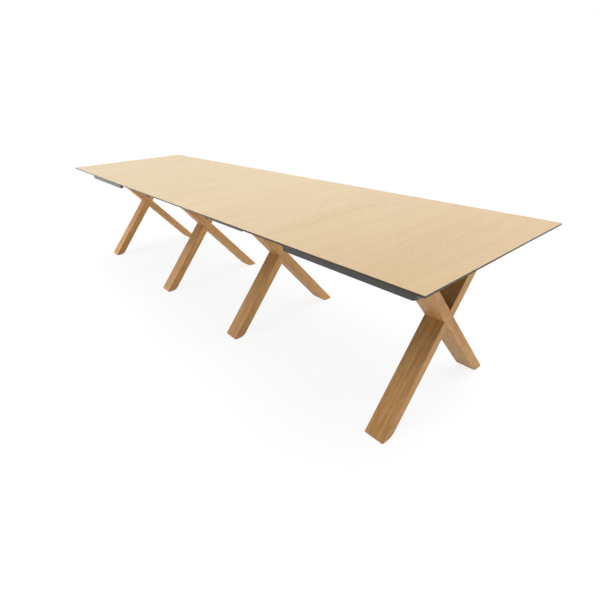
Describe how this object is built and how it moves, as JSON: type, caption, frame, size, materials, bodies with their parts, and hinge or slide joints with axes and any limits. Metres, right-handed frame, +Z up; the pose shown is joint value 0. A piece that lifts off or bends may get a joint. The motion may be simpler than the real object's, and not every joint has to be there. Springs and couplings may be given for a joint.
{
  "type": "extending dining table",
  "caption": "Extending dining table: thin oak-veneered top, drop-in leaves between sliding ends, grey aprons, grooved rails under the middle and crossed oak plank legs.",
  "frame": {"origin": "on the floor, under the middle of the fully extended top", "axes": "+X along the table towards its right end, +Y towards the back long side, +Z up"},
  "size_m": [3.4, 0.93, 0.74],
  "materials": {
    "oak_veneer": "pale oak veneer, matt lacquer",
    "dark_core": "dark dense core, bare satin edge",
    "oak_leg": "solid oak, oiled",
    "grey_lacquer": "anthracite lacquer on board, satin",
    "black_steel": "black powder coat",
    "aluminium_rail": "clear anodised",
    "zinc_steel": "bright zinc plate",
    "batten_wood": "plain beech, sanded",
    "glide": "moulded, matt"
  },
  "bodies": {
    "centre_frame": {"centre_rail_back": "aluminium_rail", "centre_rail_front": "aluminium_rail", "left_inner_crossbar": "black_steel", "left_inner_glides": "glide", "left_inner_leg_back": "oak_leg", "left_inner_leg_front": "oak_leg", "left_inner_pad_bolts": "zinc_steel", "left_inner_pads": "black_steel", "left_inner_side_plate": "grey_lacquer", "right_inner_crossbar": "black_steel", "right_inner_glides": "glide", "right_inner_leg_back": "oak_leg", "right_inner_leg_front": "oak_leg", "right_inner_pad_bolts": "zinc_steel", "right_inner_pads": "black_steel", "right_inner_side_plate": "grey_lacquer"},
    "left_end": {"left_apron_back": "grey_lacquer", "left_apron_brackets": "zinc_steel", "left_apron_corners": "grey_lacquer", "left_apron_end": "grey_lacquer", "left_apron_front": "grey_lacquer", "left_end_core": "dark_core", "left_end_veneer": "oak_veneer", "left_outer_glides": "glide", "left_outer_head_bar": "black_steel", "left_outer_head_bolts": "zinc_steel", "left_outer_leg_back": "oak_leg", "left_outer_leg_front": "oak_leg", "left_runner_back": "aluminium_rail", "left_runner_front": "aluminium_rail", "left_runner_packers": "batten_wood"},
    "left_leaf": {"left_leaf_battens": "batten_wood", "left_leaf_core": "dark_core", "left_leaf_screws": "zinc_steel", "left_leaf_veneer": "oak_veneer"},
    "right_end": {"right_apron_back": "grey_lacquer", "right_apron_brackets": "zinc_steel", "right_apron_corners": "grey_lacquer", "right_apron_end": "grey_lacquer", "right_apron_front": "grey_lacquer", "right_end_core": "dark_core", "right_end_veneer": "oak_veneer", "right_outer_glides": "glide", "right_outer_head_bar": "black_steel", "right_outer_head_bolts": "zinc_steel", "right_outer_leg_back": "oak_leg", "right_outer_leg_front": "oak_leg", "right_runner_back": "aluminium_rail", "right_runner_front": "aluminium_rail", "right_runner_packers": "batten_wood"},
    "right_leaf": {"right_leaf_battens": "batten_wood", "right_leaf_core": "dark_core", "right_leaf_screws": "zinc_steel", "right_leaf_veneer": "oak_veneer"}
  },
  "joints": [
    {"name": "right_end_slide", "type": "slide", "parent": "centre_frame", "child": "right_end", "axis": [-1, 0, 0], "range_m": [0, 0.956]},
    {"name": "right_leaf_lift", "type": "slide", "parent": "centre_frame", "child": "right_leaf", "axis": [0, 0, 1], "range_m": [0, 0.956]},
    {"name": "left_end_slide", "type": "slide", "parent": "centre_frame", "child": "left_end", "axis": [1, 0, 0], "range_m": [0, 0.956]},
    {"name": "left_leaf_lift", "type": "slide", "parent": "centre_frame", "child": "left_leaf", "axis": [0, 0, 1], "range_m": [0, 0.956]}
  ],
  "couplings": [
    {"joint": "right_leaf_lift", "follows": "right_end_slide", "ratio": 1},
    {"joint": "left_leaf_lift", "follows": "left_end_slide", "ratio": 1}
  ]
}
